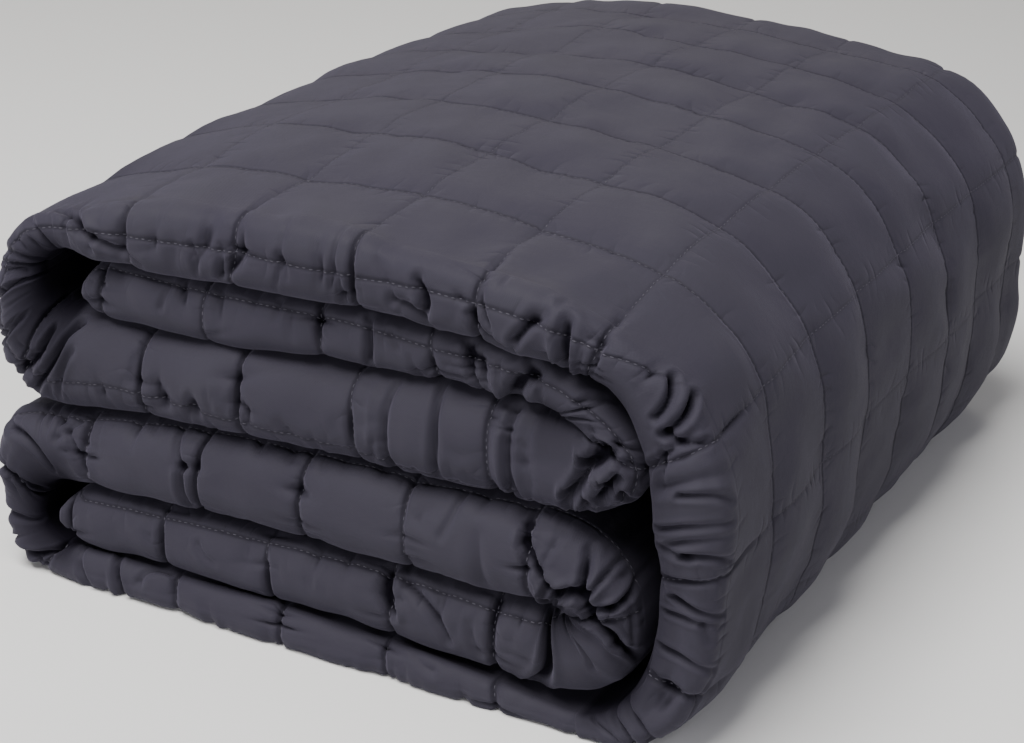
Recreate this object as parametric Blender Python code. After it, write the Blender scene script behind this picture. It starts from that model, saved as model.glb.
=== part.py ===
"""Weighted blanket, quilted in squares and folded into one thick stack.

The blanket is folded in three across its width, so that every ply of the stack is three layers
of cloth with a round fold along its front and back edges.  That long strip is then folded back
and forth.  Seen from the front, in the X-Z plane, the strip runs

    ply 2 (free end, left) > right turn > ply 3 > left turn round the end of ply 2 > ply 1 (top)
    > outer wrap on the right > ply 6 (underside) > left turn > ply 4 > right turn > ply 5 (free
    end, left).

All of it is one closed solid.  A section of the strip is carried along the fold line: its front
and back ends are squarish half ellipses, and its squares are raised between the stitch lines.
Units are metres, +Z up, the front faces -Y, and the underside rests on Z = 0.
"""

import math

import bmesh
import bpy
import numpy as np

# --- driving sizes -------------------------------------------------------------------------

HEIGHT = 0.176            # top of the stack, in the middle
FRONT_Y = -0.188          # front and back of the folded edges
BACK_Y = 0.188
SQUARE = 0.0493           # quilted square, drawn in a little from 50.8 mm flat
PLY_GAP = 0.0014          # clear space between two plies
EDGE_ROUND = 0.85         # depth of a folded edge, as a share of half the ply's thickness
EDGE_SQUARENESS = 2.5     # of a folded edge: 2 is half an ellipse, more is squarer

PUFF = 0.0032             # how far a square stands above its stitch lines
EDGE_PUFF = 0.0034        # the same, on the folded edges
PUFF_FADE = 0.030         # squares rise from nothing over this length where plies part
PUFF_POWER = 3.0          # higher is flatter squares with steeper sides
SHOULDER = 0.16           # where a square's shoulder is, as a share of its side
SHOULDER_ROOM = 0.22      # further columns in a square keep this far from its stitch lines

FRONT_DROOP = 0.076       # the front edge is lower than the middle, as a share of the height
BACK_DROOP = 0.008
DROOP_LENGTH = 0.060      # how quickly that droop fades along Y
CROWN = 1.02              # 1/m, how the top falls away to both sides
CROWN_X = -0.004          # where the top is highest

# Heights of the creases between plies at four places along X, and the stack's top and underside.
CREASE_X = (-0.114, -0.049, 0.016, 0.082)
CREASES = {
    "top": (0.1755, 0.1755, 0.1755, 0.1755),
    "1-2": (0.1580, 0.1480, 0.1490, 0.1510),
    "2-3": (0.1270, 0.1220, 0.1250, 0.1310),
    "3-4": (0.0770, 0.0840, 0.0850, 0.0870),
    "4-5": (0.0440, 0.0450, 0.0460, 0.0480),
    "5-6": (0.0155, 0.0160, 0.0150, 0.0110),
    "under": (0.0, 0.0, 0.0, 0.0),
}

# Each ply: creases above and below it, where its straight run starts and ends, how far its folded
# edge lies behind the frontmost one, and the X of the stitch lines that cross it.
PLIES = {
    "ply1": ("top", "1-2", -0.114, 0.094, 0.0000, (-0.083, -0.036, 0.013, 0.060)),
    "ply2": ("1-2", "2-3", -0.107, 0.081, 0.0040, (-0.099, -0.052, -0.005, 0.041)),
    "ply3": ("2-3", "3-4", -0.112, 0.081, 0.0010, (-0.080, -0.036, 0.011, 0.065)),
    "ply4": ("3-4", "4-5", -0.113, 0.086, 0.0000, (-0.107, -0.055, -0.010, 0.034, 0.083)),
    "ply5": ("4-5", "5-6", -0.120, 0.086, 0.0015, (-0.116, -0.073, -0.025, 0.027, 0.069)),
    "ply6": ("5-6", "under", -0.113, 0.104, 0.0005, (-0.066, -0.018, 0.027, 0.072)),
}

# Each turn: X that its outer side and its inner side reach, Z of those points as a share of the
# way up, squareness of the outer curve's first and second half and of the inner curve, and its
# stitch lines as shares of its length.
TURNS = {
    "rightUpper": (0.1210, 0.0930, 0.45, (2.0, 2.0), 2.0, (0.50,)),
    "leftUpper": (-0.1480, -0.1270, 0.46, (2.9, 2.9), 2.6, (0.22, 0.70)),
    "wrap": (0.1525, 0.1290, 0.42, (2.7, 2.7), 2.4, (0.043, 0.265, 0.515, 0.765)),
    "leftLower": (-0.1500, -0.1320, 0.50, (3.4, 3.4), 2.8, (0.12, 0.62)),
    "rightLower": (0.1235, 0.0960, 0.42, (2.2, 2.2), 2.0, (0.50,)),
}

# The fold line, from one free end to the other.  Side A of the strip, its left-hand side on the
# way, shows from the third leg to the seventh and is quilted there.
ROUTE = ("ply2", "rightUpper", "ply3", "leftUpper", "ply1", "wrap", "ply6", "leftLower",
         "ply4", "rightLower", "ply5")
SHOWING = ("leftUpper", "ply1", "wrap", "ply6", "leftLower")
RUNS_LEFT = ("ply3", "ply6", "ply5")

CREASE_ENDS = (-0.125, 0.100)   # a crease is level past these
END_ROUND = 0.014         # length over which a free end rounds off
END_BLUNT = 0.06          # square of the thickness left on the very end, as a share
END_COLUMNS = (0.0, 0.2, 0.5)   # columns of points on a free end, as shares of END_ROUND
END_ROOM = 0.8            # share of END_ROUND that other columns keep from it
PATH_STEP = 0.001         # spacing of the points that the fold line is worked out at
TURN_POINTS = 120         # the same, on each half of a turn
TURN_STEP = math.radians(24)   # sharpest corner left between two columns of points

EDGE_ANGLES = (90, 64, 41, 14, -16, -52, -90)   # round a folded edge, from side A to side B
FIRST_ROW = (0.6, 0.8)    # the first stitch row lies between these shares of the edge's height
FIRST_ROW_DEPTH = 0.35    # what is left of the puff on it
ROW_2_Y = -0.139          # second stitch row; the first lies on the front edge
ROWS = 7                  # stitch rows from there to the back
HIDDEN_ROWS = 2           # a side that doesn't show has points on every second stitch row

# Rows of points ahead of the second stitch row and behind the last one: share of the way from the
# front fold, or to the back fold, and place in the square.
FRONT_CELL = ((0.0, 0.70), (0.55, 0.40), (0.84, SHOULDER))
BACK_CELL = ((0.35, SHOULDER), (1.0, 0.5))

RECESS_SPAN = (0.2, 0.8)  # shares of a ply between which its recess holds

CLOTH_COLOUR = (0.045, 0.042, 0.054, 1.0)
CLOTH_ROUGHNESS = 0.72


# --- the fold line -------------------------------------------------------------------------

def crease_height(name, x):
    """Height of a crease at x, on a smooth line through its four named heights."""
    fit = np.polyfit(CREASE_X, CREASES[name], 3)
    return np.polyval(fit, np.clip(x, *CREASE_ENDS))


def free_end(x, tip):
    """How much of the thickness is left at x near a free end: a quarter of an ellipse."""
    inward = np.clip((x - tip) / END_ROUND, 0, 1)
    return np.sqrt(np.maximum(1 - (1 - inward) ** 2, END_BLUNT))


def ply_leg(name):
    """Side A and side B of a straight ply, as rows of (x, z, x, z), the way the route goes."""
    above, below, left, right = PLIES[name][:4]
    x = np.linspace(left, right, math.ceil((right - left) / PATH_STEP))
    upper = crease_height(above, x) - (0 if above == "top" else PLY_GAP / 2)
    lower = crease_height(below, x) + (0 if below == "under" else PLY_GAP / 2)
    if name in (ROUTE[0], ROUTE[-1]):
        middle, half = (upper + lower) / 2, (upper - lower) / 2 * free_end(x, left)
        upper, lower = middle + half, middle - half
    if name in RUNS_LEFT:
        return np.stack([x, lower, x, upper], axis=1)[::-1]
    return np.stack([x, upper, x, lower], axis=1)


def bend(start, end, reach, share, powers):
    """Two quarters of superellipses that meet at the outermost point,
    x = x0 + a sin(t)^(2/n), z = zm +- b cos(t)^(2/n)."""
    middle = min(start[1], end[1]) + share * abs(start[1] - end[1])
    angle = np.linspace(0, math.pi / 2, TURN_POINTS)
    halves = []
    for (x, z), power in zip((start, end), powers):
        across, along = np.sin(angle) ** (2 / power), np.cos(angle) ** (2 / power)
        along[-1] = 0.0
        halves.append(np.stack([x + (reach - x) * across, middle + (z - middle) * along], axis=1))
    return np.concatenate([halves[0][1:], halves[1][-2:0:-1]])


def turn_leg(name, start, end):
    """Side A, on the outside of a turn, and side B, on the inside."""
    outer_reach, inner_reach, share, outer_powers, inner_power = TURNS[name][:5]
    outer = bend(start[:2], end[:2], outer_reach, share, outer_powers)
    inner = bend(start[2:], end[2:], inner_reach, share, (inner_power, inner_power))
    return np.concatenate([outer, inner], axis=1)


def fold_line():
    """Both sides of the strip, their arc length along side A, and the span of every leg."""
    legs = {name: ply_leg(name) for name in ROUTE if name in PLIES}
    for before, name, after in zip(ROUTE, ROUTE[1:], ROUTE[2:]):
        if name in TURNS:
            legs[name] = turn_leg(name, legs[before][-1], legs[after][0])
    line = np.concatenate([legs[name] for name in ROUTE])
    arc = np.concatenate([[0.0], np.cumsum(np.hypot(*np.diff(line[:, :2], axis=0).T))])
    span, first = {}, 0
    for name in ROUTE:
        last = first + len(legs[name]) - 1
        span[name] = (arc[first], arc[last])
        first = last + 1
    return line, arc, span


def stitch_arcs(line, arc, span):
    """Arc lengths at which the stitch lines cross the fold line, in order."""
    crossings = []
    for name in ROUTE:
        low, high = span[name]
        if name in TURNS:
            crossings += [low + share * (high - low) for share in TURNS[name][5]]
            continue
        inside = (arc >= low) & (arc <= high)
        way = -1 if name in RUNS_LEFT else 1
        xs, arcs = line[inside, 0][::way], arc[inside][::way]
        crossings += [float(np.interp(x, xs, arcs)) for x in PLIES[name][5]]
    return sorted(crossings)


def column_arcs(line, arc, crossings):
    """Columns of points: on each stitch line, at the shoulders and middle of each square, and
    closer where the fold line turns.  Gives each column's arc length and its place in its square,
    from 0 on one stitch line to 1 on the next."""
    heading = np.unwrap(np.arctan2(*np.gradient(line[:, :2], axis=0).T[::-1]))
    stops = [-SQUARE / 2] + crossings + [arc[-1] + SQUARE / 2]
    tip = [share * END_ROUND for share in END_COLUMNS]
    places, squares = list(tip), [0.5] * len(tip)
    for low, high in zip(stops, stops[1:]):
        turn = abs(np.interp(high, arc, heading) - np.interp(low, arc, heading))
        spans = max(2, math.ceil(turn / TURN_STEP))
        inner = np.linspace(0, 1, spans + 1)[1:-1]
        inner = inner[(inner > SHOULDER_ROOM) & (inner < 1 - SHOULDER_ROOM)]
        for share in sorted({0.0, SHOULDER, 1 - SHOULDER, *inner.tolist()}):
            place = low + share * (high - low)
            if END_ROOM * END_ROUND < place < arc[-1] - END_ROOM * END_ROUND:
                places.append(place)
                squares.append(share)
    places += [arc[-1] - place for place in reversed(tip)]
    return np.array(places), np.array(squares + [0.5] * len(tip))


# --- the surface ---------------------------------------------------------------------------

def puff(share):
    """Height of a square, 0 on its stitch lines and 1 in its middle."""
    return 1 - np.abs(2 * share - 1) ** PUFF_POWER


def side_rows():
    """Rows of points along a side of the strip, front to back.  Each has how much of the front
    fold's Y, of the back fold's Y and of a fixed Y it takes, its place in its square, and whether
    a side that doesn't show has it too."""
    last_y = ROW_2_Y + (ROWS - 1) * SQUARE
    rows = [(1 - way, 0.0, way * ROW_2_Y, place, way == 0) for way, place in FRONT_CELL]
    for row in range(ROWS):
        y = ROW_2_Y + row * SQUARE
        rows.append((0.0, 0.0, y, 0.0, row % HIDDEN_ROWS == 0))
        if row < ROWS - 1:
            rows += [(0.0, 0.0, y + SQUARE * share, share, False)
                     for share in (SHOULDER, 0.5, 1 - SHOULDER)]
    rows += [(0.0, way, (1 - way) * last_y, place, way == 1) for way, place in BACK_CELL]
    return rows


def edge_turn(angle):
    """How far across and how far out a folded edge is at an angle, from 0 to 1: a superellipse,
    r (sin t, cos t) with 1 / r^n = |sin t|^n + |cos t|^n."""
    sine, cosine = math.sin(math.radians(angle)), math.cos(math.radians(angle))
    swell = (abs(sine) ** EDGE_SQUARENESS + cosine ** EDGE_SQUARENESS) ** (-1 / EDGE_SQUARENESS)
    return sine * swell, cosine * swell


def stations():
    """Every station round the strip's section, as arrays: from the front along side A, round the
    back fold, along side B to the front, and round the front fold."""
    table = [(front, back, fixed, 1.0, 0.0, place, 1.0, always)
             for front, back, fixed, place, always in side_rows()]
    edge = [edge_turn(angle) for angle in EDGE_ANGLES[1:-1]]
    table += [(0.0, 1.0, 0.0, across, out, 0.5, 0.0, True) for across, out in edge]
    table += [(front, back, fixed, -1.0, 0.0, 0.0, 0.0, True)
              for front, back, fixed, place, always in reversed(side_rows()) if always]
    table += [(1.0, 0.0, 0.0, across, -out, 0.5, 0.0, True) for across, out in reversed(edge)]
    return [np.array(column) for column in zip(*table)]


def recess_of(places, span):
    """How far the folded edge lies behind the frontmost one, smooth along the fold line."""
    middles, depths = [], []
    for name in ROUTE:
        if name in PLIES:
            low, high = span[name]
            middles += [low + share * (high - low) for share in RECESS_SPAN]
            depths += [PLIES[name][4]] * len(RECESS_SPAN)
    return np.interp(places, middles, depths)


def settle(x, y, z):
    """Lets the stack sag: the top falls away to the sides and to the folded edges, and the
    underside is flat on the ground."""
    front_way = np.maximum(y - FRONT_Y - END_ROUND, 0) / DROOP_LENGTH
    back_way = np.maximum(BACK_Y - END_ROUND - y, 0) / DROOP_LENGTH
    droop = 1 - FRONT_DROOP * np.exp(-front_way) - BACK_DROOP * np.exp(-back_way)
    fallen = (z - CROWN * (x - CROWN_X) ** 2 * (z / HEIGHT) ** 2) * droop
    return x, y, np.maximum(fallen, 0.0)


def blanket_points(line, arc, span, places, squares, shows):
    """X, Y and Z of every station on every column, as arrays of columns by stations."""
    ax, az, bx, bz = (np.interp(places, arc, line[:, k])[:, None] for k in range(4))
    x, z, half = (ax + bx) / 2, (az + bz) / 2, np.hypot(ax - bx, az - bz) / 2
    from_front, from_back, fixed, across, out, row_place, sided, _ = stations()

    depth = EDGE_ROUND * half
    recess = recess_of(places, span)[:, None]
    front = FRONT_Y + EDGE_PUFF + recess + depth
    back = BACK_Y - EDGE_PUFF - recess - depth

    cell = puff(squares)[:, None]
    first, last = span[SHOWING[0]][0], span[SHOWING[-1]][1]
    clear = np.clip(np.minimum(places - first, last - places) / PUFF_FADE, 0, 1)[:, None]
    on_side = PUFF * clear * cell * puff(row_place) * (sided > 0)
    on_edge = EDGE_PUFF * cell * np.abs(out) ** 0.5
    first_row = shows[:, None] & (out < 0) & (across > FIRST_ROW[0]) & (across < FIRST_ROW[1])
    raised = on_side + on_edge * np.where(first_row, FIRST_ROW_DEPTH, 1.0)

    share = across * (half + raised) / half
    y = front * from_front + back * from_back + fixed + (depth + raised) * out
    return settle(x + (ax - bx) / 2 * share, y, z + (az - bz) / 2 * share)


def blanket_faces(present):
    """Faces between neighbouring columns.  present marks the stations that each column has; where
    one column has more of them than the next, the face between takes them all as corners."""
    number = np.cumsum(present).reshape(present.shape) - 1
    columns, count = present.shape
    common = np.flatnonzero(present.all(axis=0))
    faces = []
    for column in range(columns - 1):
        pair = present[column] & present[column + 1]
        stops = np.flatnonzero(pair)
        for first, last in zip(stops, np.roll(stops, -1)):
            between = np.arange(first, last + 1 if last > first else last + count + 1) % count
            near = number[column, between[present[column, between]]]
            far = number[column + 1, between[present[column + 1, between]]]
            faces.append([*near.tolist(), *far[::-1].tolist()])
    return faces + end_caps(number, common, columns - 1)


def end_caps(number, common, last):
    """Closes both free ends: each station on side A is joined straight across to side B."""
    steps = len(EDGE_ANGLES) - 2
    side = len(common) // 2 - steps
    faces = []
    for column in (0, last):
        rim = number[column, common].tolist()
        one, back = rim[:side], rim[side:side + steps]
        two, front = rim[side + steps:2 * side + steps][::-1], rim[2 * side + steps:]
        faces += [[one[k], one[k + 1], two[k + 1], two[k]] for k in range(side - 1)]
        faces += [[one[-1], *back, two[-1]], [two[0], *front, one[0]]]
    return faces


def cover_material():
    """Dark closely woven cloth."""
    cloth = bpy.data.materials.new("cover cloth")
    cloth.use_nodes = True
    shader = cloth.node_tree.nodes["Principled BSDF"]
    shader.inputs["Base Color"].default_value = CLOTH_COLOUR
    shader.inputs["Roughness"].default_value = CLOTH_ROUGHNESS
    shader.inputs["Metallic"].default_value = 0.0
    return cloth


def make_blanket():
    """The blanket's solid, standing on the ground with its box centred on the origin."""
    line, arc, span = fold_line()
    places, squares = column_arcs(line, arc, stitch_arcs(line, arc, span))
    shows = (places > span[SHOWING[0]][0]) & (places < span[SHOWING[-1]][1])
    always = stations()[-1].astype(bool)
    present = shows[:, None] | always
    xyz = np.stack(blanket_points(line, arc, span, places, squares, shows), axis=-1)[present]
    xyz[:, :2] -= (xyz[:, :2].min(axis=0) + xyz[:, :2].max(axis=0)) / 2

    mesh = bpy.data.meshes.new("blanket")
    mesh.from_pydata(xyz.tolist(), [], blanket_faces(present))
    solid = bmesh.new()
    solid.from_mesh(mesh)
    bmesh.ops.triangulate(solid, faces=[face for face in solid.faces if len(face.verts) > 4])
    bmesh.ops.recalc_face_normals(solid, faces=solid.faces)
    solid.to_mesh(mesh)
    solid.free()
    mesh.shade_smooth()
    mesh.materials.append(cover_material())
    blanket = bpy.data.objects.new("blanket", mesh)
    bpy.context.collection.objects.link(blanket)
    return blanket


def main():
    for thing in list(bpy.data.objects):
        bpy.data.objects.remove(thing, do_unlink=True)
    make_blanket()


main()
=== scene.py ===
import math
from types import SimpleNamespace

import bpy
import numpy as np
from mathutils import Matrix, Vector


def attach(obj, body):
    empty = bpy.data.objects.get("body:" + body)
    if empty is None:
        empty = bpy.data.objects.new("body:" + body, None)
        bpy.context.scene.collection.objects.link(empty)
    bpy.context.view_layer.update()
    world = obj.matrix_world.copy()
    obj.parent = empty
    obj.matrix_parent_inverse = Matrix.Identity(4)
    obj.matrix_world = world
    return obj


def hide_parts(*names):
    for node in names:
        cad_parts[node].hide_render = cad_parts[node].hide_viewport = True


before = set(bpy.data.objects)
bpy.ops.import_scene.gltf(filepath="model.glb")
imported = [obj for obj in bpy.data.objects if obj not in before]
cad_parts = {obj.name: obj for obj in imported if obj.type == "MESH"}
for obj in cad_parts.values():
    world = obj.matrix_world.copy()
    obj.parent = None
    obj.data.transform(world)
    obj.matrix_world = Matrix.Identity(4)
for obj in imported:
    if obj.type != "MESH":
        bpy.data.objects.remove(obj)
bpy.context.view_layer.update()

# The folded stack, in metres.  The blanket is folded in three across its width, and that long
# strip back and forth: seen from the front it runs along the legs of "route".  Side A is its
# left-hand side on the way, which shows from the left upper turn to the left lower one.
stack = {
    "edgeSquareness": 2.5,  # 2 is an ellipse
    "height": 0.176, "frontY": -0.188, "backY": 0.188, "square": 0.0493,
    "gap": 0.0014,  # clear space between plies
    "round": 0.85,  # depth of a folded edge, as a share of half the thickness
    "tipRound": 0.011,  # a free end rounds off over this length
    "tipBlunt": 0.06,  # square of the thickness left on its very end, as a share
    "frontDroop": 0.076, "backDroop": 0.008, "droopLength": 0.060,
    "droopFrom": 0.011,  # the droop starts this far behind an edge
    "crown": 1.02, "crownX": -0.004,  # how the top falls away to both sides
    "shiftX": -0.0015,  # sets the stack over the solid that it replaces
    "creaseEnds": (-0.125, 0.100),  # a crease is level past these
    "step": 0.001, "turnPoints": 120,  # of the fold line on a ply, and in half a turn
    "rowTwoY": -0.139, "rows": 7,  # second stitch row, and how many there are from it back
    "route": ("ply2", "rightUpper", "ply3", "leftUpper", "ply1", "wrap", "ply6", "leftLower",
              "ply4", "rightLower", "ply5"),
    "showing": ("leftUpper", "leftLower"),
    "runsLeft": ("ply3", "ply6", "ply5"),
}

# Heights of the creases between plies at these places along X.
creaseX = (-0.114, -0.049, 0.016, 0.082)
creases = {
    "top": (0.1755, 0.1755, 0.1755, 0.1755),
    "1-2": (0.1580, 0.1480, 0.1490, 0.1510),
    "2-3": (0.1270, 0.1220, 0.1250, 0.1310),
    "3-4": (0.0770, 0.0840, 0.0850, 0.0870),
    "4-5": (0.0440, 0.0450, 0.0460, 0.0480),
    "5-6": (0.0155, 0.0160, 0.0150, 0.0110),
    "under": (0.0, 0.0, 0.0, 0.0),
}

# Each ply: creases above and below, X of both ends, how far its front edge is set back, and in mm
# the X of its stitch lines and how far each leans to the right at its top on the front edge.
plies = {
    "ply1": ("top", "1-2", -0.114, 0.094, 0.0, (-83, -36, 13, 60), (-1, 3, 1, 0)),
    "ply2": ("1-2", "2-3", -0.107, 0.081, 0.004, (-99, -52, -5, 41), (1, 0, -1, -1)),
    "ply3": ("2-3", "3-4", -0.112, 0.081, 0.001, (-80, -36, 11, 65), (1, 0, -1, -1)),
    "ply4": ("3-4", "4-5", -0.113, 0.086, 0.0, (-107, -55, -10, 34, 83), (-1, 2, 1, -1, -1)),
    "ply5": ("4-5", "5-6", -0.120, 0.086, 0.0015, (-116, -73, -25, 27, 69), (0, 0, -1, -1, 0)),
    "ply6": ("5-6", "under", -0.113, 0.104, 0.0005, (-66, -18, 27, 72), (-1, -1, -1, -1)),
}

# Each turn: X that its outer and its inner side reach, height of those points as a share of the
# way up, squareness of both curves, and its stitch lines as shares of its length.
turns = {
    "rightUpper": (0.1210, 0.0930, 0.45, 2.0, 2.0, (0.50,)),
    "leftUpper": (-0.1480, -0.1270, 0.46, 2.9, 2.6, (0.22, 0.70)),
    "wrap": (0.1525, 0.1290, 0.42, 2.7, 2.4, (0.043, 0.265, 0.515, 0.765)),
    "leftLower": (-0.1500, -0.1320, 0.50, 3.4, 2.8, (0.12, 0.62)),
    "rightLower": (0.1235, 0.0960, 0.42, 2.2, 2.0, (0.43,)),
}

# Where the first stitch row runs round the section: leg, share of the leg, degrees from side B
# (-90) over the front edge to side A (90).
rowOneWay = (
    ("ply2", 0.05, 44), ("ply2", 0.60, 38), ("ply2", 0.80, 18), ("rightUpper", 0.20, 18),
    ("rightUpper", 0.50, 50), ("ply3", 0.10, 50), ("ply3", 0.35, 36), ("ply3", 0.90, 14),
    ("leftUpper", 0.50, 30), ("ply1", 0.10, 16), ("ply1", 0.55, 9), ("ply1", 0.90, 24),
    ("wrap", 0.06, 20), ("wrap", 0.20, 84), ("wrap", 0.90, 76), ("ply6", 0.50, 74),
    ("leftLower", 0.50, 60), ("ply4", 0.30, 66), ("ply4", 0.95, 74), ("rightLower", 0.25, 84),
    ("ply5", 0.10, 141), ("ply5", 0.60, 172), ("ply5", 0.95, 186),
)

# How finely the surface is worked out, and how its squares stand up.
quilt = {
    "columnStep": 0.00204,  # widest spacing of the columns of points along the strip
    "closer": 1.1,  # how many more there are by a stitch line or a crease
    "closerReach": 0.003,  # how far from it those go
    "samples": 8000,  # of the strip's length, to place the columns
    "frontSpans": 40, "backSpans": 10,  # points round the front and the back edge
    "rowsPerSquare": 8, "frontRows": 6, "backRows": 2,
    "crowd": 0.55,  # how much closer rows of points lie by a stitch line
    "topPuff": 0.0006, "rowPuff": 0.0015, "rowPower": 2.6, "puffPower": 3.4,  # squares' height
    "edgePuff": 0.0010, "edgePower": 6.0, "unevenPuff": 0.3, "unevenSize": 0.06,
    "puffFade": 0.030,  # squares rise from nothing over this length where plies part
    "wrapFade": 0.020,  # the wrap's own share of puff and rows is reached over this length
    "wrapEdge": 0.5,  # share of the edges' puff and seam creases that the wrap has
    "wrapRowOne": 0.030, "plainWrap": 0.8, "plainFade": 0.010,  # past there the wrap's row is faint
    "columnsOnTop": 0.35,  # strength of the lines across the strip on its side, as a share
    "calm": 0.4, "calmLength": 0.05,  # share of puff round the left upper turn, then up to all
    "rowOneLeft": 0.45,  # what is left of the puff on the first stitch row
    "leanFade": 0.012,  # leaning lines straighten over this length behind the front edge
}

crinkle = {
    "seamDepth": 0.0020, "seamWidth": 0.0012,  # sharp crease on a stitch line, on the edges
    "seamFade": 0.022, "seamSize": 0.03,  # it runs out past an edge, and comes and goes
    "puckerPitch": 0.0105, "puckerReach": 0.0095, "puckerWander": 1.3, "puckerSharpness": 2.0,
    "topPucker": 0.00045, "edgePucker": 0.00300,  # depth of the small creases by a stitch line
    "slump": 0.0009, "slumpSize": 0.075,  # broad unevenness
    "rumple": 0.00030, "rumpleSize": 0.024,  # small unevenness
    "sharpness": 1.35,  # of a trough's section: 2 is round, 1 is a V
    "narrow": 0.85,  # times all hand-placed creases' widths
    "broad": 6.0,  # half width in mm from which a trough is only a broad dip
    "deepen": 1.45,  # times their depths
    "paleFrom": 6.0,  # a crease that starts this many mm deep gets no painted shade
    "shoulder": 0.22,  # how much the cloth stands up beside a trough, as a share of it
    "hidden": 0.25,  # strength of a crease that reaches where the cloth doesn't show
}

# Painted shade in the folds, how dark the cloth is painted there: share reached at an edge's lip and
# length from there to the full dark; in a turn the degrees where it starts and that it takes, darkest
# share and length to fade.
fold = {
    "lip": 0.45, "lipReach": 0.018, "lead": 0, "leftLead": 30, "span": 95, "inner": 0.9, "fade": 0.012,
}
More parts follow.
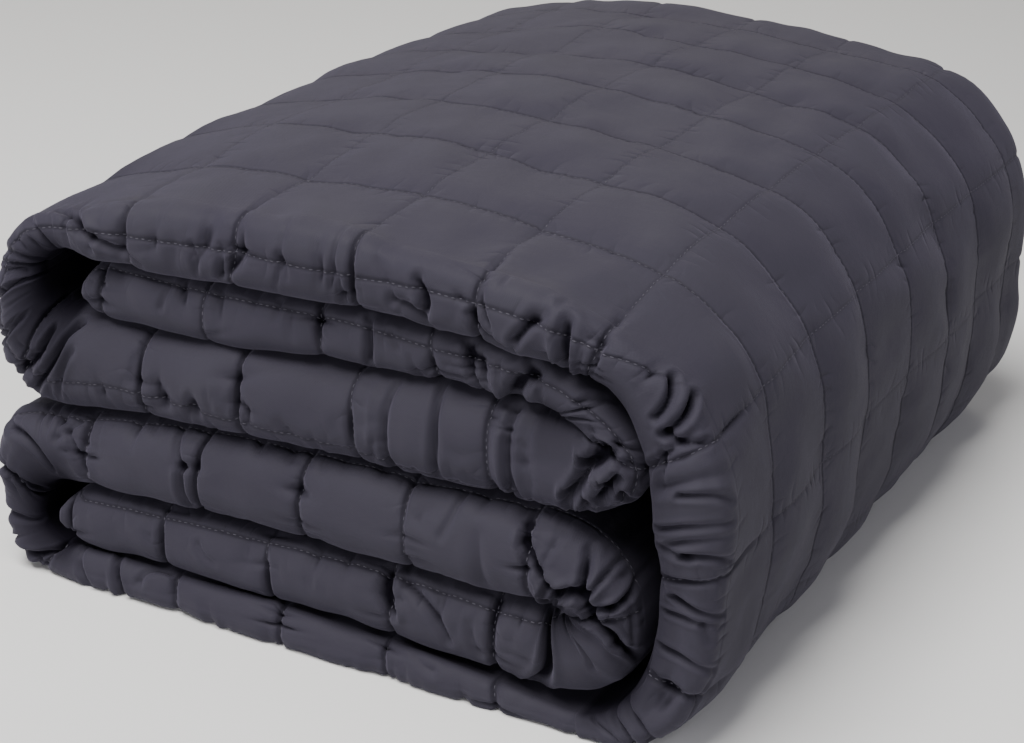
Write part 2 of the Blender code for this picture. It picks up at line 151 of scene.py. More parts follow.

# Main creases on each leg: place and height of the start, the same of the end,
# bow to the left of the way as a share of its length, half width, and depth at both ends (a ridge
# is less than 0).  Place is an X on a ply and a length from the start of a turn; height is taken
# round the edge from its frontmost line, up on a ply and outwards on a turn.  All are in mm.
wrinkles = {
    "leftUpper": (
        (116, 62, 116, 170, 0, 44, 3.4, 2.8), (138, 10, 155, -3, 0.1, 2.2, 3, 2),
        (143, 15, 156, 1, -0.1, 2, 2.6, 2.4), (156, 1, 176, -7, 0, 2, 2.4, 1),
        (124, 8, 131, -6, 0, 2.4, 1.6, 2.4), (70, 14, 82, -14, 0.1, 2.4, 2.6, 3.4),
        (37, 18, 16, -14, -0.08, 2.6, 3, 3), (21, 19, -4, -19, 0.05, 2.2, 3.4, 3.4),
        (7, 15, -4, -8, 0.1, 1.8, 1.6, 1.2), (52, 20, 46, -6, 0.05, 3, 1.5, 1.2),
        (100, 18, 106, -8, 0, 3, 1.2, 1.6),
    ),
    "ply1": (
        (-53.4, 3, -51, -7, 0.1, 1.7, 1.6, 0.8), (-41.5, 4, -40, -7, 0.05, 1.8, 1, 1.8),
        (-16, 4, -12.5, -3, 0.1, 1.7, 1.6, 0.6), (6.8, 4, 9, -9, 0.05, 1.8, 0.8, 2),
        (22.5, 8, 29, -3, 0.1, 1.8, 0.6, 1), (38.1, 6, 41.5, -4, 0.1, 2.2, 2.6, 3.4),
        (30, -3, 41.5, -9, 0.1, 2.6, 1.2, 3.4), (59, 0, 74, -8, -0.2, 2, 2.4, 2.6),
        (81.9, 6, 75.7, -4, 0, 2, 1.2, 2.8), (86.5, 12, 90.5, -6, 0, 2.4, -0.6, -1.6),
        (93.5, 8, 94.5, -13, 0, 2.4, 3, 4.4), (84, -6, 93, -10, 0, 3, 1, 3),
    ),
    "ply2": (
        (-67.4, 9, -70, 0, 0, 1.7, 0.6, 1), (-21, 10, -21.5, 3, 0, 1.7, 1.4, 0.4),
        (16, 10, 14.9, -9, 0.06, 1.9, 2, 2.2), (25.1, 6, 27.9, 1, 0, 1.7, 1, 0.8),
        (33, -2, 34.5, -10, 0, 1.8, 0.5, 1.4), (56.2, 9, 60, -11, -0.08, 1.9, 2.2, 2.4),
        (66, 2, 67, -8, 0, 2.6, -0.8, -1.2), (72, -10, 86, 5, 0.1, 3.4, 4.2, 3),
        (77.8, 12, 83.5, 3, 0, 2, 1, 2.4),
    ),
    "rightUpper": (
        (22, 4, 28, 16, 0.1, 1.9, 1.8, 1.2), (33, 0, 30, -14, 0, 2.2, 1, 2.4),
        (50, 2, 74, -1, 0, 2.7, 4.4, 6.2), (74, -1, 93, 9, 0, 2.3, 6.2, 6.2),
        (93, 9, 97, 14, 0, 2.2, 6.2, 4), (63, 8, 72, 8, 0, 1.8, 2.8, 5.2),
        (72, 8, 81, 12, 0, 1.8, 5.2, 4), (69, 12, 71, 18, -0.2, 1.6, 2.2, 1.8),
        (86, 11, 92, 19, 0, 1.8, 3.2, 2.4), (92, 14, 98, 19, 0, 1.6, 1.8, 1.4),
        (46, 7, 48, 17, 0, 1.6, 1.8, 1.6), (53, 10, 54, 18, 0, 1.6, 1.4, 1.2),
        (50, 22, 60, 16, 0, 2, 1.6, 1),
    ),
    "ply3": (
        (-82.8, 9, -83, 3, 0, 1.7, 0.8, 0.6), (-57.1, 0, -56.9, -13, 0, 2.4, -0.3, -1),
        (-49, -10, -50, -17, 0, 1.8, 0.4, 1.4), (-5, -8, -5.5, -18, 0, 2, 0.4, 1.2),
        (27.5, 18, 25.5, -20, 0.04, 2, 1.4, 2.2), (20.5, 16, 19.5, -6, 0.04, 2.6, -0.6, -1),
        (44, 22, 42.8, -18, -0.05, 2, 2, 1.8), (35, -12, 34.5, -20, 0, 1.7, 0.6, 1.4),
        (73.8, 20, 74.5, -18, 0.04, 2.1, 1.8, 2.4), (70, 14, 70.5, -14, 0, 2.6, -0.6, -0.8),
        (86, 14, 83, -8, 0.1, 4.6, 0.8, 0.9),
    ),
    "ply4": (
        (-66.5, 22, -61, 4, -0.1, 1.9, 1.6, 2), (-61, 4, -59, -15, -0.04, 1.9, 2, 1.8),
        (-82, 21, -75.4, 13, 0, 1.8, 1.2, 0.5), (-110.5, 24, -106, 6, 0.1, 2.2, 1.6, 1),
        (54.5, 20, 50, 3, 0.06, 2, 1.6, 0.8), (64, 6, 65, -12, 0, 3.4, 1, 1.4),
        (80.5, 24, 81.6, 8, 0, 2.2, 2.4, 3.8),
    ),
    "rightLower": (
        (-4, 8, 10, -5, -0.08, 2.3, 3.8, 4.6), (10, -5, 20, -6, 0, 2.8, 4.6, 5.6),
        (19, -6, 32, 2, 0.05, 3, 5.6, 5.6), (30, 2, 20, 15, 0.05, 2.2, 4.6, 1.8),
        (8, -13, 27, -11, 0, 4.2, 4.6, 5.2), (6, 5, 9, 15, 0, 2, 0.8, 0.8),
        (33, 4, 30, 23, 0.05, 1.7, 2.2, 1.6), (40, -1, 45, 7, 0, 1.9, 2.2, 3.8),
        (45, 7, 39, 22, -0.05, 1.9, 3.8, 3), (32, 1, 53, -1, 0, 2.2, 5.4, 5.2),
        (53, -1, 66, 8, 0.05, 2.2, 5.2, 5), (66, 8, 73, 20, 0, 2.2, 5, 3),
        (76, -12, 86, 5, 0.1, 2, 1.6, 1), (76, -6, 82, 14, 0, 6, -1.4, -1.2),
        (121, 16, 106, -17, -0.1, 3.2, 5, 6.2), (98, 22, 72, 24, 0.08, 2.4, 1, 1.4),
    ),
    "ply5": (
        (-54.7, 4, -47.8, -2, 0.1, 1.8, 1, 0.5), (26.5, 15, 29, 0, 0.05, 2.4, 3.4, 2.4),
        (23.5, 8, 29, -2, 0.1, 2.4, 1.4, 2.2), (35, 11, 52, -6, -0.1, 2.4, 2.4, 1.6),
        (60, 4, 64, -8, 0, 2.4, 0.8, 1.2),
    ),
    "ply6": (
        (-111, 9, -107, -4, 0.1, 1.8, 1.4, 1.6), (-94.5, 10, -90.8, -6, 0, 2, 2.8, 2.6),
        (-70, 9, -82, 2, 0.2, 2.2, 2.4, 1.2), (40, 6, 48, 3, 0.1, 2, 0.6, 1.2),
    ),
    "wrap": (
        (206, -11, 213, 9, 0.05, 2, 2, 1.6), (197, -12, 205, 9, 0.05, 2, 2.2, 1.4),
        (220, -6, 214, 4, 0, 1.8, 1.4, 0.6), (35, 15, 43, 1, 0.1, 1.9, 3.4, 2.4),
        (44, 17, 50, 1, 0.1, 2, 3.4, 2.6), (50, 2, 60, 13, -0.1, 1.9, 2.8, 1.6),
        (55, 10, 60, -8, 0, 2, 1, 2.2), (72, -6, 75, 17, 0.08, 3.6, 1.6, 0.4),
        (77, 1, 86, 15, 0.12, 1.9, 2.2, 0.8), (91, -8, 95, 14, 0.05, 1.9, 2.2, 0.6),
        (99, -4, 101, 12, 0.05, 1.9, 1.8, 0.4), (106, 0, 114, 15, 0.1, 1.9, 2.6, 0.8),
        (100, -8, 108, 2, 0, 1.8, 1.8, 1), (118, -8, 121, 10, 0, 2, 1.6, 0.4),
        (129, -4, 139, 14, -0.06, 1.9, 2.6, 0.8), (140, -7, 143, 14, 0.05, 1.9, 2.2, 0.4),
        (142, 7, 150, 9, 0, 1.8, 1.4, 1), (160, -8, 164, 14, 0.05, 1.9, 2.6, 0.6),
        (176, -8, 178, 12, 0, 2.4, 1.6, 0.8),
    ),
    "leftLower": (
        (130, 20, 118, 6, 0.1, 2, 1.6, 1.2), (116, 18, 132, -6, 0.08, 2, 1.2, 2.2),
        (94, 12, 111, -6, 0.08, 2.2, 2.6, 2.8), (70, 12, 84, -12, 0.05, 2.4, 2.6, 3.4),
        (32, 10, 10, -12, -0.05, 2.2, 2.8, 2.8), (50, 16, 44, -8, 0, 2.8, 1.6, 1.6),
    ),
}

atFront, onSideA, atBack, onSideB = range(4)  # regions of the strip's section


# Height of a crease at x, on a smooth line through its named heights.
def creaseHeight(name, x):
    fit = np.polyfit(creaseX, creases[name], len(creaseX) - 1)
    return np.polyval(fit, np.clip(x, *stack["creaseEnds"]))


# Side A and side B of a straight ply as rows of (x, z, x, z), the way the route goes.  A free end
# rounds off as a quarter of an ellipse.
def plyLeg(name):
    above, below, left, right = plies[name][:4]
    x = np.linspace(left, right, math.ceil((right - left) / stack["step"]))
    upper = creaseHeight(above, x) - (0 if above == "top" else stack["gap"] / 2)
    lower = creaseHeight(below, x) + (0 if below == "under" else stack["gap"] / 2)
    if name in (stack["route"][0], stack["route"][-1]):
        inward = np.clip((x - left) / stack["tipRound"], 0, 1)
        share = np.sqrt(np.maximum(1 - (1 - inward) ** 2, stack["tipBlunt"]))
        middle, half = (upper + lower) / 2, (upper - lower) / 2 * share
        upper, lower = middle + half, middle - half
    if name in stack["runsLeft"]:
        return np.stack([x, lower, x, upper], axis=1)[::-1]
    return np.stack([x, upper, x, lower], axis=1)


# Two quarters of a superellipse that meet at the outermost point:
# x = x0 + a sin(t)^(2/n), z = zm +- b cos(t)^(2/n).
def bend(start, end, reach, share, power):
    middle = min(start[1], end[1]) + share * abs(start[1] - end[1])
    angle = np.linspace(0, math.pi / 2, stack["turnPoints"])
    across, along = np.sin(angle) ** (2 / power), np.cos(angle) ** (2 / power)
    along[-1] = 0.0
    first, second = (np.stack([x + (reach - x) * across, middle + (z - middle) * along], axis=1)
                     for x, z in (start, end))
    return np.concatenate([first[1:], second[-2:0:-1]])


# Both sides of the strip as rows of (x, z, x, z), their arc length along side A, and each leg's
# span of it.
def foldLine():
    route = stack["route"]
    legs = {name: plyLeg(name) for name in route if name in plies}
    for before, name, after in zip(route, route[1:], route[2:]):
        if name in turns:
            start, end = legs[before][-1], legs[after][0]
            outer, inner, share, outerPower, innerPower = turns[name][:5]
            outerSide = bend(start[:2], end[:2], outer, share, outerPower)
            innerSide = bend(start[2:], end[2:], inner, share, innerPower)
            legs[name] = np.concatenate([outerSide, innerSide], axis=1)
    line = np.concatenate([legs[name] for name in route])
    arc = totals(np.hypot(*np.diff(line[:, :2], axis=0).T))
    ends = np.cumsum([len(legs[name]) for name in route])
    span = {name: (arc[last - len(legs[name])], arc[last - 1]) for name, last in zip(route, ends)}
    return line, arc, span


def totals(values):
    return np.concatenate([[0.0], np.cumsum(values)])


# Arc length in metres of a place in mm: an X on a ply, or a length from the start of a turn.
def legArc(name, place):
    low, high = span[name]
    if name in turns:
        return low + place * 0.001
    inside, way = (arc >= low) & (arc <= high), sideSign(name)
    return float(np.interp(place * 0.001, line[inside, 0][::way], arc[inside][::way]))


# -1 on a ply that runs left, where side A is the lower one, and 1 on any other leg.
def sideSign(name):
    return -1 if name in stack["runsLeft"] else 1


def legShare(name, share):
    low, high = span[name]
    return low + share * (high - low)


# Stitch lines across the strip, in order: arc length, and lean towards side A on the front edge.
def stitchLines():
    found = [(legShare(name, share), 0.0) for name in turns for share in turns[name][5]]
    for name in plies:
        found += [(legArc(name, x), lean * 0.001 * sideSign(name)) for x, lean in zip(*plies[name][5:])]
    return np.array(sorted(found))


# Columns of points, closer together by stitch lines and creases.  There is one on each stitch
# line, and an even number of steps between two.
def columnPlaces(crossings):
    fine = np.linspace(0, arc[-1], quilt["samples"])
    close = np.abs(fine[:, None] - crossings).min(axis=1) < quilt["closerReach"]
    for leg, rows in wrinkles.items():
        for startPlace, _, endPlace, _, _, width, _, _ in rows:
            low, high = sorted((legArc(leg, startPlace), legArc(leg, endPlace)))
            beside = (fine > low - quilt["closerReach"]) & (fine < high + quilt["closerReach"])
            close |= beside & (width < crinkle["broad"])
    density = 1 + quilt["closer"] * averaged(close * 1.0)
    amount = totals((density[1:] + density[:-1]) / 2 * np.diff(fine))
    stops = np.interp(np.concatenate([[0.0], crossings, [arc[-1]]]), fine, amount)
    parts = [np.linspace(low, high, 2 * max(1, round((high - low) / quilt["columnStep"] / 2)) + 1)[:-1]
             for low, high in zip(stops, stops[1:])]
    return np.interp(np.concatenate(parts + [[stops[-1]]]), amount, fine)


# Each value as the mean of those up to "reach" places away.
def averaged(values, reach=6):
    window = np.ones(2 * reach + 1) / (2 * reach + 1)
    return np.convolve(np.pad(values, reach, mode="edge"), window, mode="valid")


# Every station round the strip's section: up the front edge, along side A, round the back and
# along side B to the front again.  Shares of the front and back folds' Y, fixed Y, angle from
# side B (-90) to side A (90), region, and whether a side that doesn't show has it too.
def stationTable():
    lastY = stack["rowTwoY"] + (stack["rows"] - 1) * stack["square"]
    side = [(1 - way, 0.0, way * stack["rowTwoY"], way == 0)
            for way in np.linspace(0, 1, quilt["frontRows"] + 1)[:-1]]
    crowded = crowd(np.linspace(0, 1, quilt["rowsPerSquare"] + 1)[:-1])
    for row in range(stack["rows"] - 1):
        side += [(0.0, 0.0, stack["rowTwoY"] + (row + share) * stack["square"],
                  share == 0 and row % 2 == 0) for share in crowded]
    side += [(0.0, way, (1 - way) * lastY, way in (0, 1))
             for way in np.linspace(0, 1, quilt["backRows"] + 1)]
    frontTurn = np.linspace(-90, 90, quilt["frontSpans"] + 1)[:-1]
    backTurn = np.linspace(90, -90, quilt["backSpans"] + 1)[1:-1]
    table = [(1.0, 0.0, 0.0, turn, atFront, True) for turn in frontTurn]
    table += [(*place, 90.0, onSideA, always) for *place, always in side]
    table += [(0.0, 1.0, 0.0, turn, atBack, True) for turn in backTurn]
    table += [(*place, -90.0, onSideB, True) for *place, always in side[:0:-1] if always]
    return [np.array(column) for column in zip(*table)]


# Shares of a square with more of them by its stitch lines: t - c sin(2 pi t) / (2 pi).
def crowd(even):
    return even - quilt["crowd"] * np.sin(2 * math.pi * even) / (2 * math.pi)


# Coordinates over the grid of columns by stations.  "round" is the distance round the section
# from the frontmost line, + towards side A; "row" and "column" count squares, with whole numbers
# on the stitch lines.
def gridCoordinates(places, stations):
    fromFront, fromBack, fixed, turn, region, _ = stations
    ax, az, bx, bz = (np.interp(places, arc, line[:, k])[:, None] for k in range(4))
    half = np.hypot(ax - bx, az - bz) / 2
    depth = stack["round"] * half

    setBack = [(legShare(name, share), plies[name][4])
               for name in stack["route"] if name in plies for share in (0.2, 0.8)]
    recess = np.interp(places, *zip(*setBack))[:, None]
    rowOne = [(legShare(name, share), angle) for name, share, angle in rowOneWay]
    rowOne = np.interp(places, *zip(*rowOne))[:, None]

    front = stack["frontY"] + quilt["edgePuff"] + recess + depth
    back = stack["backY"] - quilt["edgePuff"] - recess - depth
    foldY = front * fromFront + back * fromBack + fixed
    quarter = math.pi / 2 * np.sqrt((half ** 2 + depth ** 2) / 2)
    behindFold = np.where(region == onSideB, -quarter - (foldY - front), quarter + (foldY - front))
    roundFront = np.where(region == atFront, quarter * turn / 90, behindFold)

    rowOneRound = quarter * rowOne / 90
    square, rowTwo = stack["square"], stack["rowTwoY"]
    past = roundFront - rowOneRound
    ahead = np.where(past > 0, past / (quarter + rowTwo - front - rowOneRound), past / square)
    lastY = rowTwo + (stack["rows"] - 1) * square
    behind = stack["rows"] + 1 + (back - lastY + quarter * (90 - turn) / 90) / square
    row = np.where(region == atBack, behind, 1 + ahead)
    row = np.where((region == onSideA) & (fromFront == 0), 2 + (foldY - rowTwo) / square, row)
    crossings, leans = stitchLines().T
    stops = np.concatenate([[crossings[0] - square], crossings, [crossings[-1] + square]])
    column = np.interp(places, stops, np.arange(len(stops)))[:, None] + 0 * row
    lean = np.interp(places, crossings, leans)
    return SimpleNamespace(
        ax=ax, az=az, bx=bx, bz=bz, half=half, depth=depth, foldY=foldY, turn=turn, region=region,
        round=roundFront, quarter=quarter, row=row, column=column, along=places[:, None] + 0 * row,
        rowOne=rowOne, lean=lean[:, None])


# The stack sags: the top falls away to the sides and to the folded edges, and the underside is
# flat on the ground.
def settle(x, y, z):
    frontWay = np.maximum(y - stack["frontY"] - stack["droopFrom"], 0) / stack["droopLength"]
    backWay = np.maximum(stack["backY"] - stack["droopFrom"] - y, 0) / stack["droopLength"]
    droop = 1 - stack["frontDroop"] * np.exp(-frontWay) - stack["backDroop"] * np.exp(-backWay)
    fallen = (z - stack["crown"] * (x - stack["crownX"]) ** 2 * (z / stack["height"]) ** 2) * droop
    return np.stack([x + stack["shiftX"], y, fallen], axis=-1)


# The bare strip: each column is a flat run along Y with half a squarish ellipse at its front and
# back, y = y0 +- d r cos(t), across = h r sin(t), where 1 / r^n = |cos t|^n + |sin t|^n.
def bareSurface(grid):
    turn, power = np.radians(grid.turn), stack["edgeSquareness"]
    onEdge = (grid.region == atBack) * 1.0 - (grid.region == atFront)
    swell = np.abs(np.cos(turn)) ** power + np.abs(np.sin(turn)) ** power
    swell = np.where(onEdge != 0, swell ** (-1 / power), 1.0)
    out = np.cos(turn) * swell * onEdge
    across = np.sin(turn) * swell
    showing = (grid.along > span["ply1"][0]) & (grid.along < span["ply6"][0])
    pivot = np.where(showing, np.sin(np.radians(grid.rowOne)), 0.0)
    fade = np.exp(-pastEdge(grid) / quilt["leanFade"])
    fade = np.where((grid.region == atBack) | (showing & (across > pivot)), 0.0, fade)
    x = (grid.ax + grid.bx) / 2 + (grid.ax - grid.bx) / 2 * across
    x = x + grid.lean * (across - pivot) * fade
    z = (grid.az + grid.bz) / 2 + (grid.az - grid.bz) / 2 * across
    return settle(x, grid.foldY + grid.depth * out, z)


# How far a point lies behind the end of the front edge, on either side.
def pastEdge(grid):
    return np.maximum(np.abs(grid.round) - grid.quarter, 0)


# Unit normals of a grid that closes on itself across its stations, from the cross product of its
# two central differences.
def gridNormals(points):
    aroundWay = np.roll(points, -1, axis=1) - np.roll(points, 1, axis=1)
    return unit(np.cross(np.gradient(points, axis=0), aroundWay))


def unit(field):
    return field / np.maximum(np.linalg.norm(field, axis=-1, keepdims=True), 1e-12)


# Smooth noise over points of any dimension: a sum of plane waves sin(k . p + phase) in random
# directions, about "size" from crest to crest and 1 in strength.
def waves(points, size, seed, count=24):
    rng = np.random.default_rng(seed)
    direction = unit(rng.normal(size=(count, points.shape[-1])))
    pitch = 2 * math.pi / size * rng.uniform(0.65, 1.5, count)
    phase = rng.uniform(0, 2 * math.pi, count)
    return np.sin(points @ (direction * pitch[:, None]).T + phase).sum(axis=-1) * math.sqrt(2 / count)


# A square's height, from 0 on its stitch lines to 1 in its middle: 1 - |2 s - 1|^n.
def pillow(place, power):
    return 1 - np.abs(2 * (place - np.floor(place)) - 1) ** power


def bell(apart, width):
    return np.exp(-(apart / width) ** 2)


# Broken rows of short narrow creases that cross the given axis of a flat map: (1 - |sin(p)|)^n
# with a wandering phase p, let through where a slow noise is high.
def notches(flat, axis, seed):
    stretch = np.array((1.0, 0.3))[[axis, 1 - axis]]
    wander = waves(flat * stretch, 0.030, seed) * crinkle["puckerWander"]
    phase = flat[..., axis] * math.pi / crinkle["puckerPitch"] + wander
    gate = np.clip(0.35 + waves(flat * stretch, 0.016, seed + 40), 0, 1.3)
    return (1 - np.abs(np.sin(phase))) ** crinkle["puckerSharpness"] * gate


# 1 between two arc lengths, falling to 0 over "fade" at both, a share "ahead" of it past them.
def within(along, low, high, fade, ahead=0.0):
    return np.clip(np.minimum(along - low, high - along) / fade + ahead, 0, 1)


# 1 along the legs whose side A shows, falling to 0 where plies part at the two ends of them.
def openShare(grid):
    return within(grid.along, *showingSpan(), quilt["puffFade"])


def showingSpan():
    return span[stack["showing"][0]][0], span[stack["showing"][1]][1]


# 1 by the first stitch row on the wrap, where the cloth is stretched smooth, and 0 elsewhere.
def plainWrap(grid):
    start, end = span["wrap"]
    plain = within(grid.along, start + quilt["wrapRowOne"], end, quilt["plainFade"])
    return plain * (np.abs(grid.row - 1) < 0.5)


def onEdges(grid):
    return np.isin(grid.region, (atFront, atBack)) + 0 * grid.along


# How far every point of the bare strip is raised along its normal, and how much of that is
# creases that the material darkens with painted shade.  "edge" is strongest in the middle of a
# folded edge, "side" on the open side.
def relief(grid, points):
    onEdge, wrapWay = onEdges(grid), within(grid.along, *span["wrap"], quilt["wrapFade"])
    edge = onEdge * np.maximum(np.cos(np.radians(grid.turn)), 0) ** 0.5
    calmEdge = edge * blend(1, quilt["wrapEdge"], wrapWay)
    side = np.where(grid.region == onSideA, 1.0, onEdge * np.clip(grid.turn / 50, 0, 1))
    side = openShare(grid) * side
    lift = np.maximum(quilt["edgePuff"] * calmEdge, quilt["topPuff"] * side)
    calm = np.clip((grid.along - span["ply1"][0]) / quilt["calmLength"], 0, 1)
    side = side * blend(quilt["calm"], 1, calm)
    rise = squaresRise(grid, points, lift, side, edge * blend(quilt["rowOneLeft"], 1, wrapWay))
    creased = seamCreases(grid, points, calmEdge, edge, side)
    showing = np.maximum(edge, side)
    rise += showing * (crinkle["slump"] * waves(points, crinkle["slumpSize"], 14)
                       + crinkle["rumple"] * waves(points, crinkle["rumpleSize"], 15))
    for leg, rows in wrinkles.items():
        for row in rows:
            dip = wrinkle(grid, leg, *row) * np.maximum(showing, crinkle["hidden"])
            # shallower creases go into the creased field, which the material darkens with painted shade
            if row[6] < crinkle["paleFrom"]:
                creased += dip
            else:
                rise += dip
    return rise + creased, creased


def blend(low, high, share):
    return low + (high - low) * share


# The quilted squares: lift(p) x pillow(column) x pillow(row), with a second, broader pillow
# between the rows of the open side, and all of it a little uneven.
def squaresRise(grid, points, lift, side, rowLeft):
    onEdge = onEdges(grid)
    power = np.where(onEdge > 0, quilt["edgePower"], quilt["puffPower"])
    rowWay = pillow(grid.row, np.where(onEdge > 0, power, quilt["rowPower"]))
    rowWay = 1 - (1 - rowWay) * (1 - quilt["plainWrap"] * plainWrap(grid))
    rise = lift * pillow(grid.column, power) * blend(rowLeft, 1, rowWay)
    rise += quilt["rowPuff"] * side * rowWay
    rise *= 1 + quilt["unevenPuff"] * np.clip(waves(points, quilt["unevenSize"], 10), -1.5, 1.5)
    return rise


# Sharp creases exp(-(d / w)^2) on the stitch lines across the strip, and puckers by every line.
# A pucker runs across its stitch line, so its creases are drawn out that way.
def seamCreases(grid, points, calmEdge, edge, side):
    toColumn, toRow = (np.abs(k - np.round(k)) * stack["square"] for k in (grid.column, grid.row))
    uneven = np.clip(0.8 + 0.5 * waves(points, crinkle["seamSize"], 11), 0.15, 2.0)
    fade = np.exp(-pastEdge(grid) / crinkle["seamFade"])
    seam = np.maximum(calmEdge, side * (grid.region == onSideA) * fade)
    creased = -crinkle["seamDepth"] * uneven * seam * bell(toColumn, crinkle["seamWidth"])

    flat = np.stack([grid.along, grid.round], axis=-1)
    depth = crinkle["topPucker"] * side
    depth += (crinkle["edgePucker"] - crinkle["topPucker"] * (side > 0)) * edge
    toRow = toRow + 0.02 * plainWrap(grid)  # too far for puckers on the wrap's faint row
    creased -= depth * notches(flat, 0, 12) * bell(toRow, crinkle["puckerReach"])
    creased -= depth * notches(flat, 1, 13) * bell(toColumn, crinkle["puckerReach"]) * 0.8
    return creased


# A soft trough or ridge along a line on the surface that bows to one side.  Its section is
# exp(-(1.2 d / w)^n) with a small shoulder on each side, and its depth runs evenly between its ends.
def wrinkle(grid, leg, startPlace, startRound, endPlace, endRound, bow, width, startDepth, endDepth):
    up = sideSign(leg)
    start = np.array([legArc(leg, startPlace), up * startRound * 0.001])
    end = np.array([legArc(leg, endPlace), up * endRound * 0.001])
    length = np.hypot(*(end - start))
    way = (end - start) / length
    offX, offY = grid.along - start[0], grid.round - start[1]
    share = (offX * way[0] + offY * way[1]) / length
    near = np.clip(share, 0, 1)
    aside = offY * way[0] - offX * way[1] - up * bow * 4 * near * (1 - near) * length
    apart = np.hypot(aside, (share - near) * length) / (width * 0.001 * crinkle["narrow"])
    depth = blend(startDepth, endDepth, near) * 0.001 * crinkle["deepen"]
    trough = np.exp(-(1.2 * apart) ** (crinkle["sharpness"] if width < crinkle["broad"] else 2.0))
    trough -= crinkle["shoulder"] * bell(apart - 1.8, 0.8)
    return -depth * trough * (grid.region != atBack)


line, arc, span = foldLine()


# Faces as arrays of column and station for every corner.  Every other column has points on the
# front edge alone, and of the rest some have fewer points on their sides.  The last station joins
# the first, which is then numbered one turn further on.
def bodyFaces(full, always):
    count, edge = len(always), quilt["frontSpans"]
    column, low = gridPairs(np.arange(len(full) - 1), np.arange(edge))
    corners = list(quads(column, low, column + 1, low + 1))
    for state in (True, False):
        near = np.arange(0, len(full) - 2, 2)
        near = near[(full[near] == state) & (full[near + 2] == state)]
        use = np.arange(edge, count + 1) if state else sideStations(always)
        column, low = gridPairs(near, use[1:-2])
        corners += list(quads(column, low, column + 2, use[np.searchsorted(use, low) + 1]))
        first, final = [edge] * 3 + [use[1]] * 2, [use[-2]] * 2 + [count] * 3
        corners += [np.array([[c, c + 1, c + 2, c + 2, c], first]) for c in near]
        corners += [np.array([[c, c + 2, c + 2, c + 1, c], final]) for c in near]
    for left in range(0, len(full) - 2, 2):
        if full[left] != full[left + 2]:
            corners += changeFaces(left, full[left], sideStations(always), edge, count)
    return corners + capFaces(len(full) - 1, np.flatnonzero(always))


def gridPairs(columns, stations):
    return [pairs.ravel() for pairs in np.meshgrid(columns, stations, indexing="ij")]


# The stations of a column with the fewest points, from the end of its front edge round to the
# start of it.
def sideStations(always):
    use = np.flatnonzero(always)
    return np.append(use[use >= quilt["frontSpans"]], len(always))


def quads(left, low, right, high):
    return np.stack([left, right, right, left, low, low, high, high], axis=1).reshape(-1, 2, 4)


# Faces between a column with every point and one with the fewest, each taking all the points of
# its finer side, and the point between the two columns where it touches the front edge.
def changeFaces(left, leftIsFine, use, edge, count):
    faces = []
    for low, high in zip(use, use[1:]):
        leftSide = list(range(high, low - 1, -1)) if leftIsFine else [high, low]
        rightSide = [low, high] if leftIsFine else list(range(low, high + 1))
        below, above = [edge] * int(low == edge), [count] * int(high == count)
        columns = [left] * len(leftSide) + [left + 1] * len(below)
        columns += [left + 2] * len(rightSide) + [left + 1] * len(above)
        faces.append(np.array([columns, leftSide + below + rightSide + above]))
    return faces


# Both free ends: each station on side A is joined straight across to side B.
def capFaces(last, use):
    region = stationTable()[4]
    front, sideA, back, sideB = ([k for k in use if region[k] == which] for which in range(4))
    sideB = [0] + sideB[::-1]
    faces = [[c, d, b, a] for a, b, c, d in zip(sideA, sideA[1:], sideB, sideB[1:])]
    faces += [[sideA[0], *front[::-1]], [sideB[-1], *back[::-1], sideA[-1]]]
    caps = [np.array([[0] * len(face), face[::-1]]) for face in faces]
    return caps + [np.array([[last] * len(face), face]) for face in faces]


# A mesh object from points, the number of corners of each face, and all the corners in turn.
def makeMesh(name, points, sizes, corner):
    mesh = bpy.data.meshes.new(name)
    for parts, field, values in ((mesh.vertices, "co", points.astype(np.float32)),
                                 (mesh.loops, "vertex_index", corner.astype(np.int32)),
                                 (mesh.polygons, "loop_start", totals(sizes)[:-1].astype(np.int32))):
        parts.add(len(values))
        parts.foreach_set(field, values.ravel())
    mesh.update(calc_edges=True)
    mesh.shade_smooth()
    return addObject(name, mesh)


def addObject(name, data):
    thing = bpy.data.objects.new(name, data)
    bpy.context.collection.objects.link(thing)
    return thing


def addUvMap(mesh, name, across, up):
    layer = mesh.uv_layers.new(name=name)
    layer.data.foreach_set("uv", np.stack([across, up], axis=1).astype(np.float32).ravel())
